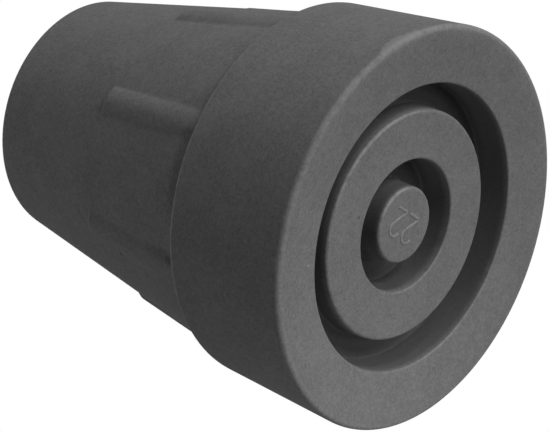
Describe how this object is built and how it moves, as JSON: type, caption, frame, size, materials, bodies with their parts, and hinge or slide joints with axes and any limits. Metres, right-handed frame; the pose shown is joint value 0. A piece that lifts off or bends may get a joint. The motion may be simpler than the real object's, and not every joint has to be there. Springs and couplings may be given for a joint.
{
  "type": "rubber cane tip",
  "caption": "Flared rubber tip that pushes onto the end of a cane or crutch tube and grips the floor with a ringed sole.",
  "frame": {"origin": "middle of the sole, on the plane that touches the floor", "axes": "+Z along the bore, from the sole to the open mouth; +X along the plane in which the mould parts, midway between two ribs"},
  "size_m": [0.046, 0.046, 0.053],
  "materials": {
    "rubber": "matt moulded grey rubber with a fine dusty grain"
  },
  "bodies": {
    "root": {"ferrule": "rubber"}
  },
  "joints": []
}
